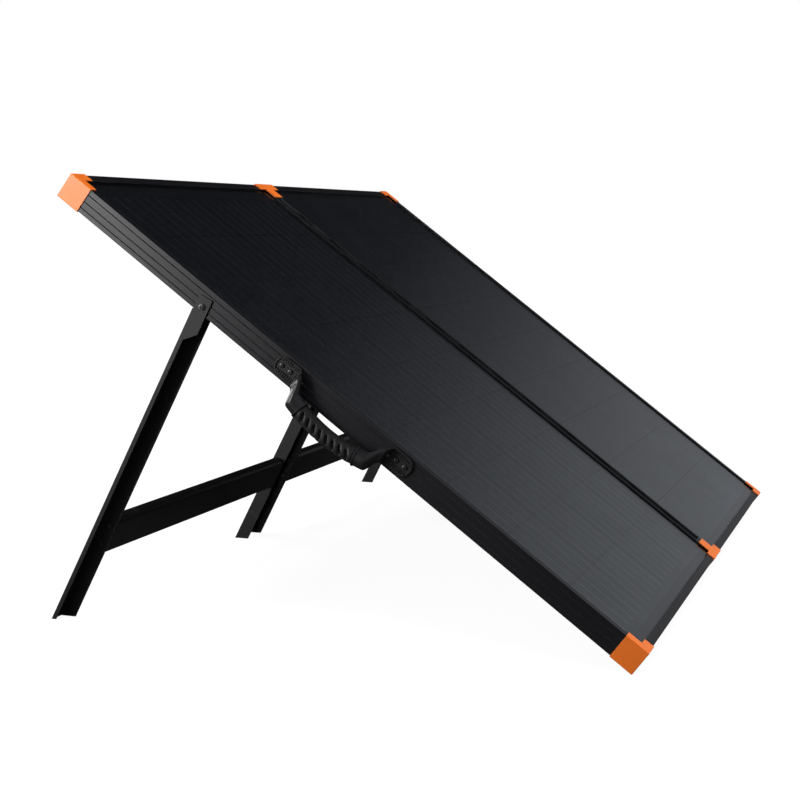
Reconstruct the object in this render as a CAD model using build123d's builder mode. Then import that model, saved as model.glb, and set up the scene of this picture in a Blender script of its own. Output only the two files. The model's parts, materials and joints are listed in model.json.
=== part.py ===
from build123d import *
import math
import os

# Folding two-panel solar suitcase on its two fold-out stands, set up on level ground.
# Row frame: +X across the two panels, +Y towards the high edge of the panels, +Z up,
# origin on the ground under the middle of the kit. All lengths are in millimetres.

os.makedirs("parts", exist_ok=True)

# ------------------------------------------------------------------ panels
PANEL_LENGTH = 1020.0
PANEL_WIDTH = 670.0
FRAME_DEPTH = 35.0
PANEL_GAP = 4.0
TILT = 36.1

# frame extrusion, measured inwards from its outer face
RAIL_WALL = 1.8
RAIL_SKIN = 1.6
LIP_WIDTH = 13.0
POCKET_BACK = 2.4
CHAMBER_WIDTH = 7.6
BACK_FLANGE_WIDTH = 20.0
MITRE_REACH = 26.0
MITRE_GAP = 0.05
GROOVE_HEIGHTS = (-7.4, -18.4, -28.0)
GROOVE_DEPTH = 0.7
GROOVE_WIDTH = 1.6

# laminate, from the glass to the backsheet
SEAL_THICKNESS = 0.6
GLASS_THICKNESS = 3.2
CELL_THICKNESS = 0.3
BACKSHEET_THICKNESS = 0.7
LAMINATE_INSET = 3.2
LAMINATE_ROUND = 3.0
CELL_SIZE = (156.75, 104.5)
CELL_GRID = (4, 9)
CELL_SPACING = 3.0

# orange corner caps
CAP_WALL = 1.5
CAP_REACH = 36.0
CAP_ARM = 14.5
CAP_ROUND = 0.8
CAP_FIT = 0.05
MATCH = 0.01

# corner keys inside the frame chambers
KEY_REACH = 46.0
KEY_FIT = 0.1

# ------------------------------------------------------------------ stands
PIVOT_FROM_TOP = 262.0
PIVOT_RISE = 9.5
STAND_ANGLE = 80.0
LEG_GAUGE = 2.0
LEG_WIDTH = 26.0
LEG_FRONT = 10.5
LEG_LIP = 6.3
EAR_TOP = 14.0
EAR_STRAIGHT = 38.0
EAR_ROOT = 1.5
OUTER_EAR_ROUND = 2.0
INNER_EAR_ROUND = 5.0
EAR_SLOT_WIDTH = 3.2
EAR_SLOT_REACH = (17.0, -60.0)
FOLDED_CLEARANCE = 0.3
STOP_CLEARANCE = 0.1
OUTER_EAR_FACE = 2.5
INNER_EAR_FACE = -2.1
LEG_STOCK = 620.0
RIVET_RADIUS = 3.0
RUNNING_CLEARANCE = 0.08
RIVET_HEAD_RADIUS = 4.6
RIVET_HEAD = 1.9
TAIL_HEAD = 0.8
RIVET_FIT = 0.05
HEAD_CLEARANCE = 0.1
END_FIT = 0.05
BUSH_RADIUS = 5.5
CROSSBAR_FROM_PIVOT = 369.0
CROSSBAR_WIDTH = 58.0
CROSSBAR_DEPTH = 19.4
CROSSBAR_ROUND = 7.0
CROSSBAR_WALL = 1.6
PLUG_DEPTH = 26.0
PLUG_SCREW_SPACING = 30.0
PLUG_SCREW_RADIUS = 2.0
PLUG_SCREW_LENGTH = 22.0
PLUG_SCREW_HEAD_RADIUS = 3.8
PLUG_SCREW_HEAD = 2.2

# ------------------------------------------------------------------ seam hinges
HINGE_RISE = 2.0
HINGE_LENGTH = 936.0
LEAF_GAUGE = 1.2
LEAF_DROP = 20.0
KNUCKLE_RADIUS = 1.9
KNUCKLE_COUNT = 25
KNUCKLE_GAP = 0.3
KNUCKLE_ROOT = 1.0
HINGE_PIN_RADIUS = 1.0
HINGE_PIN_CLEARANCE = 0.05
HINGE_RIVET_RADIUS = 1.6
HINGE_RIVET_HEAD_RADIUS = 2.9
HINGE_RIVET_HEAD = 0.45
HINGE_RIVET_HEIGHT = -11.0
HINGE_RIVET_PITCH = 75.0
HINGE_RIVET_COUNT = 13

# ------------------------------------------------------------------ handle
BRACKET_SPACING = 203.0
BRACKET_LENGTH = 35.0
BRACKET_HEIGHT = 27.0
BRACKET_GAUGE = 3.2
BRACKET_MIDDLE = -16.5
BRACKET_ROUND = 1.5
BRACKET_SCREW_SPACING = 14.5
BRACKET_SCREW_RADIUS = 2.0
BRACKET_SCREW_HEAD_RADIUS = 3.4
BRACKET_SCREW_HEAD = 1.6
BRACKET_SCREW_TIP = 1.0
BRACKET_RIBS = 6
BRACKET_RIB_SIZE = (1.8, 5.0)
BRACKET_RIB_PITCH = 4.2
BRACKET_RIB_HEIGHT = 0.9
BRACKET_RIB_INSET = 4.0
HANDLE_OUT = 10.0
HUB_RADIUS = 8.0
HUB_LENGTH = 9.5
HUB_GAP = 0.5
LUG_START = 78.0
LUG_LENGTH = 6.0
LUG_TAPER = 1.0
HANDLE_PIN_RADIUS = 2.5
GRIP_OUT = 16.5
GRIP_DROP = 33.0
COLLAR_DROP = 22.5
COLLAR_HALF = 68.0
COLLAR_RADIUS = 13.0
ARM_LENGTH = 14.5
CORE_RADIUS = 6.0
GRIP_HALF = 48.0
GRIP_RADIUS = 12.0
GRIP_NOTCHES = 8
GRIP_NOTCH_PITCH = 11.0
GRIP_NOTCH_SIZE = (11.0, 4.4)
GRIP_NOTCH_DEPTH = 2.4

# ------------------------------------------------------------------ junction boxes
JUNCTION_SIZE = (104.0, 72.0, 17.0)
JUNCTION_FROM_TOP = 110.0
JUNCTION_WALL = 2.0
JUNCTION_ROUND = 6.0
LID_THICKNESS = 2.6
LID_ROUND = 1.0
JUNCTION_SCREW_INSET = 5.5
SCREW_POST_RADIUS = 3.4
SCREW_POST_BORE = 1.25
SCREW_POST_FLOOR = 4.0
LID_HOLE_RADIUS = 1.6
LID_SCREW_RADIUS = 1.2
LID_SCREW_LENGTH = 9.0
LID_SCREW_HEAD_RADIUS = 2.7
LID_SCREW_HEAD = 1.4
GLAND_RADIUS = 6.4
GLAND_NUT = 5.0
GLAND_WALL = 1.0
GLAND_STEM_RADIUS = 4.4
GLAND_HOLE_RADIUS = 4.5
GLAND_LENGTH = 17.0
CABLE_RADIUS = 3.2
TERMINAL_BASE = (58.0, 26.0, 5.0)
TERMINAL_CLAMP = (11.0, 18.0, 4.0)
TERMINAL_PITCH = 18.0
TERMINAL_COUNT = 3
MOUNT_HOLE_RADIUS = 3.25
MOUNT_HOLE_INWARD = 15.6
MOUNT_HOLE_STATION = 300.0

# ------------------------------------------------------------------ worked-out dimensions
SLOPE_SIN = math.sin(math.radians(TILT))
SLOPE_COS = math.cos(math.radians(TILT))
HALF_LENGTH = PANEL_LENGTH / 2
HALF_GAP = PANEL_GAP / 2
PANEL_CENTRE = HALF_GAP + PANEL_WIDTH / 2
OUTER_FACE = HALF_GAP + PANEL_WIDTH
GLASS_TOP = -RAIL_SKIN - SEAL_THICKNESS
GLASS_BACK = GLASS_TOP - GLASS_THICKNESS
CELL_BACK = GLASS_BACK - CELL_THICKNESS
BACKSHEET_BACK = CELL_BACK - BACKSHEET_THICKNESS
POCKET_BASE = BACKSHEET_BACK - SEAL_THICKNESS
CHAMBER_TOP = POCKET_BASE - RAIL_SKIN
CHAMBER_BASE = -FRAME_DEPTH + RAIL_SKIN
CHAMBER_END = RAIL_WALL + CHAMBER_WIDTH
INNER_WEB_END = CHAMBER_END + RAIL_SKIN
PIVOT_Y = HALF_LENGTH - PIVOT_FROM_TOP
PIVOT_Z = -FRAME_DEPTH + PIVOT_RISE
STAND_SIN = math.sin(math.radians(STAND_ANGLE))
STAND_COS = math.cos(math.radians(STAND_ANGLE))
WEB_INNER = -(PIVOT_RISE + FOLDED_CLEARANCE)
WEB_OUTER = WEB_INNER - LEG_GAUGE
WEB_START = (PIVOT_RISE + STOP_CLEARANCE + WEB_INNER * STAND_COS) / STAND_SIN
EAR_BACK = WEB_OUTER + EAR_ROOT
CROSSBAR_FRONT = (WEB_INNER + LEG_FRONT) / 2

# the ground passes under the rounded lower back edges of the corner caps
CAP_LOW_Y = HALF_LENGTH + CAP_WALL - CAP_ROUND
CAP_LOW_Z = FRAME_DEPTH + CAP_WALL - CAP_ROUND
DECK_HEIGHT = CAP_LOW_Y * SLOPE_SIN + CAP_LOW_Z * SLOPE_COS + CAP_ROUND

# the middle of the kit lies between the handle collars and the far pivot rivet head
NEAR_REACH = OUTER_FACE + GRIP_OUT + COLLAR_RADIUS
FAR_REACH = OUTER_FACE + OUTER_EAR_FACE + HEAD_CLEARANCE + RIVET_HEAD
DECK_SHIFT_X = (NEAR_REACH - FAR_REACH) / 2

# the leg foot, where the back of the web meets the ground, is the rearmost point of the kit
PIVOT_HEIGHT = DECK_HEIGHT + PIVOT_Y * SLOPE_SIN + PIVOT_Z * SLOPE_COS
LEG_LEAN = math.radians(TILT + STAND_ANGLE - 90)
LEG_TO_GROUND = (PIVOT_HEIGHT - WEB_OUTER * math.sin(LEG_LEAN)) / math.cos(LEG_LEAN)
FOOT_BACK_Y = (
    PIVOT_Y * SLOPE_COS
    - PIVOT_Z * SLOPE_SIN
    + LEG_TO_GROUND * math.sin(LEG_LEAN)
    - WEB_OUTER * math.cos(LEG_LEAN)
)
FRONT_Y = -(CAP_LOW_Y * SLOPE_COS + (CAP_WALL - CAP_ROUND) * SLOPE_SIN + CAP_ROUND)
DECK_SHIFT_Y = -(FOOT_BACK_Y + FRONT_Y) / 2

ACROSS = Vector(1, 0, 0)
UPSLOPE = Vector(0, SLOPE_COS, SLOPE_SIN)
NORMAL = Vector(0, -SLOPE_SIN, SLOPE_COS)
DECK = Vector(DECK_SHIFT_X, DECK_SHIFT_Y, DECK_HEIGHT)

SIDES = (("near", -1), ("far", 1))


# ------------------------------------------------------------------ places and planes
def deck_point(x, y, z):
    """A point given across the seam, up the slope and out of the glass."""
    return DECK + ACROSS * x + UPSLOPE * y + NORMAL * z


def flat(z, x=0.0, y=0.0):
    """Plane parallel to the glass; a sketch on it runs across, then up the slope."""
    return Plane(deck_point(x, y, z), x_dir=ACROSS, z_dir=NORMAL)


def side_on(x, y=0.0, z=0.0):
    """Plane facing +X; a sketch on it runs up the slope, then out of the glass."""
    return Plane(deck_point(x, y, z), x_dir=UPSLOPE, z_dir=ACROSS)


def end_on(y, x=0.0, z=0.0):
    """Plane facing down the slope; a sketch on it runs across, then out of the glass."""
    return Plane(deck_point(x, y, z), x_dir=ACROSS, z_dir=UPSLOPE * -1)


def leg_plane(x):
    """Plane at a stand pivot; a sketch on it runs down the leg, then towards the leg's front."""
    down_leg = UPSLOPE * -STAND_COS - NORMAL * STAND_SIN
    return Plane(deck_point(x, PIVOT_Y, PIVOT_Z), x_dir=down_leg, z_dir=ACROSS * -1)


def deck_coordinates(point):
    """The reverse of deck_point."""
    offset = point - DECK
    return offset.dot(ACROSS), offset.dot(UPSLOPE), offset.dot(NORMAL)


def save(piece, label):
    piece.part.label = label
    export_step(piece.part, f"parts/{label}.step")


# ------------------------------------------------------------------ frame
def rail_outline():
    """Section of the frame extrusion: x inwards from the outer face, y out of the glass."""
    points = [
        (0, 0),
        (LIP_WIDTH, 0),
        (LIP_WIDTH, -RAIL_SKIN),
        (POCKET_BACK, -RAIL_SKIN),
        (POCKET_BACK, POCKET_BASE),
        (INNER_WEB_END, POCKET_BASE),
        (INNER_WEB_END, CHAMBER_BASE),
        (BACK_FLANGE_WIDTH, CHAMBER_BASE),
        (BACK_FLANGE_WIDTH, -FRAME_DEPTH),
        (0, -FRAME_DEPTH),
    ]
    for height in reversed(GROOVE_HEIGHTS):
        points.append((0, height - GROOVE_WIDTH / 2))
        points.append((GROOVE_DEPTH, height))
        points.append((0, height + GROOVE_WIDTH / 2))
    return points


def add_rail(x, y, inward, length):
    """One mitred frame rail; x, y is the middle of its outer face."""
    middle = deck_point(x, y, 0)
    with BuildSketch(Plane(middle, x_dir=inward, z_dir=inward.cross(NORMAL))) as section:
        with BuildLine():
            Polyline(rail_outline(), close=True)
        make_face()
        with Locations((RAIL_WALL + CHAMBER_WIDTH / 2, (CHAMBER_TOP + CHAMBER_BASE) / 2)):
            Rectangle(CHAMBER_WIDTH, CHAMBER_TOP - CHAMBER_BASE, mode=Mode.SUBTRACT)
    extrude(section.sketch, amount=length / 2, both=True)
    half = length / 2 - MITRE_GAP
    with BuildSketch(Plane(middle + NORMAL, x_dir=inward, z_dir=NORMAL)) as outline:
        with BuildLine():
            Polyline(
                (0, -half),
                (0, half),
                (MITRE_REACH, half - MITRE_REACH),
                (MITRE_REACH, MITRE_REACH - half),
                close=True,
            )
        make_face()
    extrude(outline.sketch, amount=-FRAME_DEPTH - 2, mode=Mode.INTERSECT)


def cut_pivot_hole(face_x, inward):
    """Hole through both walls of a side rail for a stand pivot rivet."""
    with BuildSketch(side_on(face_x, PIVOT_Y, PIVOT_Z)) as hole:
        Circle(RIVET_RADIUS + RIVET_FIT)
    extrude(hole.sketch, amount=inward * INNER_WEB_END, mode=Mode.SUBTRACT)


def cut_ear_slot(face_x, inward):
    """Slot in the back flange that an inner leg's ear swings through."""
    above, below = EAR_SLOT_REACH
    centre_x = face_x + inward * (RAIL_WALL + EAR_SLOT_WIDTH / 2)
    centre_y = PIVOT_Y + (above + below) / 2
    with BuildSketch(flat(CHAMBER_BASE, centre_x, centre_y)) as slot:
        Rectangle(EAR_SLOT_WIDTH, above - below)
    extrude(slot.sketch, amount=-RAIL_SKIN, mode=Mode.SUBTRACT)


def cut_mounting_holes(face_x, inward):
    """Bolt holes in the back flange, for fixing the panel to a rack or roof."""
    with BuildSketch(flat(CHAMBER_BASE, face_x + inward * MOUNT_HOLE_INWARD)) as holes:
        with Locations((0, MOUNT_HOLE_STATION), (0, -MOUNT_HOLE_STATION)):
            Circle(MOUNT_HOLE_RADIUS)
    extrude(holes.sketch, amount=-RAIL_SKIN, mode=Mode.SUBTRACT)


def cut_bracket_holes(face_x):
    """Screw holes in the outer wall for the two handle brackets."""
    for sign in (1, -1):
        place = side_on(face_x, sign * BRACKET_SPACING / 2, BRACKET_MIDDLE)
        with BuildSketch(place) as holes:
            with GridLocations(BRACKET_SCREW_SPACING, 0, 2, 1):
                Circle(BRACKET_SCREW_RADIUS + RIVET_FIT)
        extrude(holes.sketch, amount=RAIL_WALL, mode=Mode.SUBTRACT)


def corners(side):
    """The four corners of a panel: position, then the two signs that point outwards."""
    found = []
    for across_x, out_x in ((side * HALF_GAP, -side), (side * OUTER_FACE, side)):
        for out_y in (1, -1):
            found.append((across_x, out_y * HALF_LENGTH, out_x, out_y))
    return found


for name, side in SIDES:
    with BuildPart() as outer_rail:
        add_rail(side * OUTER_FACE, 0, ACROSS * -side, PANEL_LENGTH)
        cut_pivot_hole(side * OUTER_FACE, -side)
        cut_mounting_holes(side * OUTER_FACE, -side)
        if side < 0:
            cut_bracket_holes(side * OUTER_FACE)
    save(outer_rail, f"{name}_outer_rail")

    with BuildPart() as seam_rail:
        add_rail(side * HALF_GAP, 0, ACROSS * side, PANEL_LENGTH)
        cut_pivot_hole(side * HALF_GAP, side)
        cut_ear_slot(side * HALF_GAP, side)
    save(seam_rail, f"{name}_seam_rail")

    for end, sign in (("top", 1), ("bottom", -1)):
        with BuildPart() as end_rail:
            add_rail(side * PANEL_CENTRE, sign * HALF_LENGTH, UPSLOPE * -sign, PANEL_WIDTH)
        save(end_rail, f"{name}_{end}_rail")

    key_outer = RAIL_WALL + KEY_FIT
    key_width = CHAMBER_WIDTH - 2 * KEY_FIT
    key_arm = KEY_REACH - key_outer
    with BuildPart() as corner_keys:
        for x, y, out_x, out_y in corners(side):
            corner_x = x - out_x * key_outer
            corner_y = y - out_y * key_outer
            with BuildSketch(flat(CHAMBER_TOP - KEY_FIT)):
                with Locations((corner_x - out_x * key_arm / 2, corner_y - out_y * key_width / 2)):
                    Rectangle(key_arm, key_width)
                with Locations((corner_x - out_x * key_width / 2, corner_y - out_y * key_arm / 2)):
                    Rectangle(key_width, key_arm)
            extrude(amount=CHAMBER_BASE - CHAMBER_TOP + 2 * KEY_FIT)
    save(corner_keys, f"{name}_corner_keys")


# ------------------------------------------------------------------ corner caps
def add_cap(x, y, out_x, out_y):
    """A cap that wraps one frame corner, open over the glass and behind the laminate."""
    size = CAP_REACH + CAP_WALL
    middle = (CAP_REACH - CAP_WALL) / 2
    base = flat(-FRAME_DEPTH - CAP_WALL, x - out_x * middle, y - out_y * middle)
    with BuildSketch(base) as outline:
        Rectangle(size, size)
    block = extrude(outline.sketch, amount=FRAME_DEPTH + 2 * CAP_WALL)
    outer_edges = []
    for edge in block.edges():
        edge_x, edge_y, _ = deck_coordinates(edge.center())
        on_side = abs(edge_x - x - out_x * CAP_WALL) < MATCH
        on_end = abs(edge_y - y - out_y * CAP_WALL) < MATCH
        runs_inwards = abs(edge_x - x + out_x * CAP_REACH) < MATCH
        runs_inwards = runs_inwards or abs(edge_y - y + out_y * CAP_REACH) < MATCH
        if (on_side or on_end) and not runs_inwards:
            outer_edges.append(edge)
    fillet(outer_edges, CAP_ROUND)


def cut_cap(x, y, out_x, out_y):
    """Room for the frame corner, then the notch that leaves an L on the front and back."""
    reach = CAP_REACH * 2
    cuts = (
        (reach / 2 - CAP_FIT, CAP_FIT),
        (reach / 2 + CAP_ARM, 2 * CAP_WALL),
    )
    for middle, margin in cuts:
        base = flat(-FRAME_DEPTH - margin, x - out_x * middle, y - out_y * middle)
        with BuildSketch(base) as outline:
            Rectangle(reach, reach)
        extrude(outline.sketch, amount=FRAME_DEPTH + 2 * margin, mode=Mode.SUBTRACT)


for name, side in SIDES:
    for end, sign in (("top", 1), ("bottom", -1)):
        with BuildPart() as end_caps:
            end_corners = [corner for corner in corners(side) if corner[3] == sign]
            for corner in end_corners:
                add_cap(*corner)
            for corner in end_corners:
                cut_cap(*corner)
        save(end_caps, f"{name}_{end}_corner_caps")


# ------------------------------------------------------------------ laminate
for name, side in SIDES:
    centre = (side * PANEL_CENTRE, 0)
    laminate_width = PANEL_WIDTH - 2 * LAMINATE_INSET
    laminate_length = PANEL_LENGTH - 2 * LAMINATE_INSET

    with BuildPart() as glass:
        with BuildSketch(flat(GLASS_BACK, *centre)):
            RectangleRounded(laminate_width, laminate_length, LAMINATE_ROUND)
        extrude(amount=GLASS_THICKNESS)
    save(glass, f"{name}_glass")

    with BuildPart() as cells:
        with BuildSketch(flat(CELL_BACK, *centre)):
            with GridLocations(CELL_SIZE[0] + CELL_SPACING, CELL_SIZE[1] + CELL_SPACING, *CELL_GRID):
                Rectangle(*CELL_SIZE)
        extrude(amount=CELL_THICKNESS)
    save(cells, f"{name}_cells")

    with BuildPart() as backsheet:
        with BuildSketch(flat(BACKSHEET_BACK, *centre)):
            RectangleRounded(laminate_width, laminate_length, LAMINATE_ROUND)
        extrude(amount=BACKSHEET_THICKNESS)
    save(backsheet, f"{name}_backsheet")

    with BuildPart() as edge_seal:
        with BuildSketch(flat(POCKET_BASE, *centre)):
            Rectangle(PANEL_WIDTH - 2 * POCKET_BACK, PANEL_LENGTH - 2 * POCKET_BACK)
            Rectangle(
                PANEL_WIDTH - 2 * INNER_WEB_END,
                PANEL_LENGTH - 2 * INNER_WEB_END,
                mode=Mode.SUBTRACT,
            )
        extrude(amount=-RAIL_SKIN - POCKET_BASE)
        with BuildSketch(flat(BACKSHEET_BACK, *centre)):
            RectangleRounded(laminate_width, laminate_length, LAMINATE_ROUND)
        extrude(amount=GLASS_TOP - BACKSHEET_BACK, mode=Mode.SUBTRACT)
    save(edge_seal, f"{name}_edge_seal")


# ------------------------------------------------------------------ junction boxes
JUNCTION_Y = HALF_LENGTH - JUNCTION_FROM_TOP
JUNCTION_BACK = BACKSHEET_BACK - JUNCTION_SIZE[2]
GLAND_Z = BACKSHEET_BACK - JUNCTION_SIZE[2] / 2
SCREW_SPREAD = (
    JUNCTION_SIZE[0] - 2 * JUNCTION_SCREW_INSET,
    JUNCTION_SIZE[1] - 2 * JUNCTION_SCREW_INSET,
)

for name, side in SIDES:
    box_place = (side * PANEL_CENTRE, JUNCTION_Y)
    gland_face = side * PANEL_CENTRE - side * JUNCTION_SIZE[0] / 2

    with BuildPart() as junction_box:
        with BuildSketch(flat(BACKSHEET_BACK, *box_place)):
            RectangleRounded(JUNCTION_SIZE[0], JUNCTION_SIZE[1], JUNCTION_ROUND)
        extrude(amount=-JUNCTION_SIZE[2])
        with BuildSketch(flat(BACKSHEET_BACK - JUNCTION_WALL, *box_place)):
            RectangleRounded(
                JUNCTION_SIZE[0] - 2 * JUNCTION_WALL,
                JUNCTION_SIZE[1] - 2 * JUNCTION_WALL,
                JUNCTION_ROUND - JUNCTION_WALL,
            )
        extrude(amount=-JUNCTION_SIZE[2], mode=Mode.SUBTRACT)
        with BuildSketch(flat(BACKSHEET_BACK - JUNCTION_WALL, *box_place)):
            with GridLocations(*SCREW_SPREAD, 2, 2):
                Circle(SCREW_POST_RADIUS)
        extrude(amount=JUNCTION_WALL - JUNCTION_SIZE[2])
        with BuildSketch(flat(JUNCTION_BACK, *box_place)):
            with GridLocations(*SCREW_SPREAD, 2, 2):
                Circle(SCREW_POST_BORE)
        extrude(amount=JUNCTION_SIZE[2] - SCREW_POST_FLOOR, mode=Mode.SUBTRACT)
        with BuildSketch(side_on(gland_face, JUNCTION_Y, GLAND_Z)):
            Circle(GLAND_HOLE_RADIUS)
        extrude(amount=side * 2 * JUNCTION_WALL, mode=Mode.SUBTRACT)
    save(junction_box, f"{name}_junction_box")

    with BuildPart() as junction_lid:
        with BuildSketch(flat(JUNCTION_BACK, *box_place)):
            RectangleRounded(JUNCTION_SIZE[0], JUNCTION_SIZE[1], JUNCTION_ROUND)
        extrude(amount=-LID_THICKNESS)
        lid_back = flat(JUNCTION_BACK - LID_THICKNESS, *box_place)
        outside = junction_lid.faces().sort_by(Axis(lid_back.origin, lid_back.z_dir))[0]
        fillet(outside.edges(), LID_ROUND)
        with BuildSketch(flat(JUNCTION_BACK, *box_place)):
            with GridLocations(*SCREW_SPREAD, 2, 2):
                Circle(LID_HOLE_RADIUS)
        extrude(amount=-LID_THICKNESS, mode=Mode.SUBTRACT)
    save(junction_lid, f"{name}_junction_lid")

    with BuildPart() as lid_screws:
        with BuildSketch(flat(JUNCTION_BACK - LID_THICKNESS, *box_place)):
            with GridLocations(*SCREW_SPREAD, 2, 2):
                Circle(LID_SCREW_HEAD_RADIUS)
        extrude(amount=-LID_SCREW_HEAD)
        with BuildSketch(flat(JUNCTION_BACK - LID_THICKNESS, *box_place)):
            with GridLocations(*SCREW_SPREAD, 2, 2):
                Circle(LID_SCREW_RADIUS)
        extrude(amount=LID_THICKNESS + LID_SCREW_LENGTH)
    save(lid_screws, f"{name}_lid_screws")

    with BuildPart() as cable_gland:
        with BuildSketch(side_on(gland_face, JUNCTION_Y, GLAND_Z)):
            RegularPolygon(GLAND_RADIUS, 6, rotation=30)
        extrude(amount=-side * GLAND_NUT)
        with BuildSketch(side_on(gland_face, JUNCTION_Y, GLAND_Z)):
            Circle(GLAND_RADIUS - GLAND_WALL)
        extrude(amount=-side * GLAND_LENGTH)
        with BuildSketch(side_on(gland_face, JUNCTION_Y, GLAND_Z)):
            Circle(GLAND_STEM_RADIUS)
        extrude(amount=side * JUNCTION_WALL)
        with BuildSketch(side_on(gland_face - side * GLAND_LENGTH, JUNCTION_Y, GLAND_Z)):
            Circle(CABLE_RADIUS)
        extrude(amount=side * (GLAND_LENGTH + JUNCTION_WALL), mode=Mode.SUBTRACT)
    save(cable_gland, f"{name}_cable_gland")

    with BuildPart() as terminal_block:
        with BuildSketch(flat(BACKSHEET_BACK - JUNCTION_WALL, *box_place)):
            Rectangle(*TERMINAL_BASE[0:2])
        extrude(amount=-TERMINAL_BASE[2])
        with BuildSketch(flat(BACKSHEET_BACK - JUNCTION_WALL - TERMINAL_BASE[2], *box_place)):
            with GridLocations(TERMINAL_PITCH, 0, TERMINAL_COUNT, 1):
                Rectangle(*TERMINAL_CLAMP[0:2])
        extrude(amount=-TERMINAL_CLAMP[2])
    save(terminal_block, f"{name}_terminal_block")


# ------------------------------------------------------------------ seam hinge
KNUCKLE_PITCH = HINGE_LENGTH / KNUCKLE_COUNT
KNUCKLE_LENGTH = KNUCKLE_PITCH - KNUCKLE_GAP
LEAF_OUTER = HALF_GAP
LEAF_INNER = HALF_GAP - LEAF_GAUGE


def knuckle_middles(side):
    """Middles of the knuckles that belong to one leaf: the near leaf has the outermost ones."""
    first = 0 if side < 0 else 1
    top = HINGE_LENGTH / 2 - KNUCKLE_PITCH / 2
    return [top - KNUCKLE_PITCH * index for index in range(first, KNUCKLE_COUNT, 2)]


def leaf_rivets(side, radius, amount, mode=Mode.ADD):
    """Discs at the leaf's rivets, from its seam-side face."""
    with BuildSketch(side_on(side * LEAF_INNER, 0, HINGE_RIVET_HEIGHT)) as discs:
        with GridLocations(HINGE_RIVET_PITCH, 0, HINGE_RIVET_COUNT, 1):
            Circle(radius)
    extrude(discs.sketch, amount=side * amount, mode=mode)


for name, side in SIDES:
    with BuildPart() as hinge_leaf:
        leaf_x = side * (LEAF_OUTER + LEAF_INNER) / 2
        with BuildSketch(end_on(HINGE_LENGTH / 2)):
            with Locations((leaf_x, -LEAF_DROP / 2)):
                Rectangle(LEAF_GAUGE, LEAF_DROP)
        extrude(amount=HINGE_LENGTH)
        for middle in knuckle_middles(side):
            with BuildSketch(end_on(middle + KNUCKLE_LENGTH / 2)):
                with Locations((leaf_x, (HINGE_RISE - KNUCKLE_ROOT) / 2)):
                    Rectangle(LEAF_GAUGE, HINGE_RISE + KNUCKLE_ROOT)
                with Locations((0, HINGE_RISE)):
                    Circle(KNUCKLE_RADIUS)
            extrude(amount=KNUCKLE_LENGTH)
        with BuildSketch(end_on(HINGE_LENGTH / 2)):
            with Locations((0, HINGE_RISE)):
                Circle(HINGE_PIN_RADIUS + HINGE_PIN_CLEARANCE)
        extrude(amount=HINGE_LENGTH, mode=Mode.SUBTRACT)
        leaf_rivets(side, HINGE_RIVET_RADIUS, LEAF_GAUGE, Mode.SUBTRACT)
    save(hinge_leaf, f"{name}_hinge_leaf")

    with BuildPart() as hinge_rivets:
        leaf_rivets(side, HINGE_RIVET_HEAD_RADIUS, -HINGE_RIVET_HEAD)
        leaf_rivets(side, HINGE_RIVET_RADIUS, LEAF_GAUGE - RIVET_FIT)
    save(hinge_rivets, f"{name}_hinge_rivets")

with BuildPart() as hinge_pin:
    with BuildSketch(end_on((HINGE_LENGTH - KNUCKLE_GAP) / 2)):
        with Locations((0, HINGE_RISE)):
            Circle(HINGE_PIN_RADIUS)
    extrude(amount=HINGE_LENGTH - KNUCKLE_GAP)
save(hinge_pin, "hinge_pin")


# ------------------------------------------------------------------ stands
def slab(face_x, out, low, high):
    """Plane and thickness of a leg layer between two distances outside a rail face."""
    ends = sorted((face_x + out * low, face_x + out * high))
    return leg_plane(ends[1]), ends[1] - ends[0]


def ear_outline(lip_front):
    """The pivot ear, cut off at 45 degrees to the lip that runs on down the leg."""
    taper = LEG_FRONT - lip_front
    return [
        (-EAR_TOP, EAR_BACK),
        (-EAR_TOP, LEG_FRONT),
        (EAR_STRAIGHT, LEG_FRONT),
        (EAR_STRAIGHT + taper, lip_front),
    ]


def add_leg(face_x, out, ear_face, has_lip, ear_round):
    """A folded sheet leg, cut level at the ground: ear, back web, inner flange and lip."""
    inner_face = ear_face - LEG_WIDTH
    web_plane, web_width = slab(face_x, out, inner_face, ear_face)
    with BuildSketch(web_plane) as web:
        with Locations(((WEB_START + LEG_STOCK) / 2, (WEB_INNER + WEB_OUTER) / 2)):
            Rectangle(LEG_STOCK - WEB_START, LEG_GAUGE)
    extrude(web.sketch, amount=web_width)
    flange_plane, gauge = slab(face_x, out, inner_face, inner_face + LEG_GAUGE)
    with BuildSketch(flange_plane) as flange:
        with Locations(((WEB_START + LEG_STOCK) / 2, (LEG_FRONT + WEB_OUTER) / 2)):
            Rectangle(LEG_STOCK - WEB_START, LEG_FRONT - WEB_OUTER)
        with Locations((CROSSBAR_FROM_PIVOT, CROSSBAR_FRONT)):
            with GridLocations(PLUG_SCREW_SPACING, 0, 2, 1):
                Circle(PLUG_SCREW_RADIUS + RIVET_FIT, mode=Mode.SUBTRACT)
    extrude(flange.sketch, amount=gauge)
    lip_front = WEB_OUTER + LEG_LIP if has_lip else WEB_INNER
    outline = ear_outline(lip_front)
    if has_lip:
        outline.append((LEG_STOCK, lip_front))
    outline.append((outline[-1][0], WEB_OUTER))
    outline.append((WEB_START, WEB_OUTER))
    outline.append((WEB_START, EAR_BACK))
    ear_plane, _ = slab(face_x, out, ear_face - LEG_GAUGE, ear_face)
    with BuildSketch(ear_plane) as ear:
        with BuildLine():
            Polyline(*outline, close=True)
        make_face()
        top = ear.vertices().sort_by(Axis.X)[0:2]
        fillet(top, ear_round)
        Circle(RIVET_RADIUS + RUNNING_CLEARANCE, mode=Mode.SUBTRACT)
    extrude(ear.sketch, amount=LEG_GAUGE)
    split(bisect_by=Plane.XY, keep=Keep.TOP)


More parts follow.
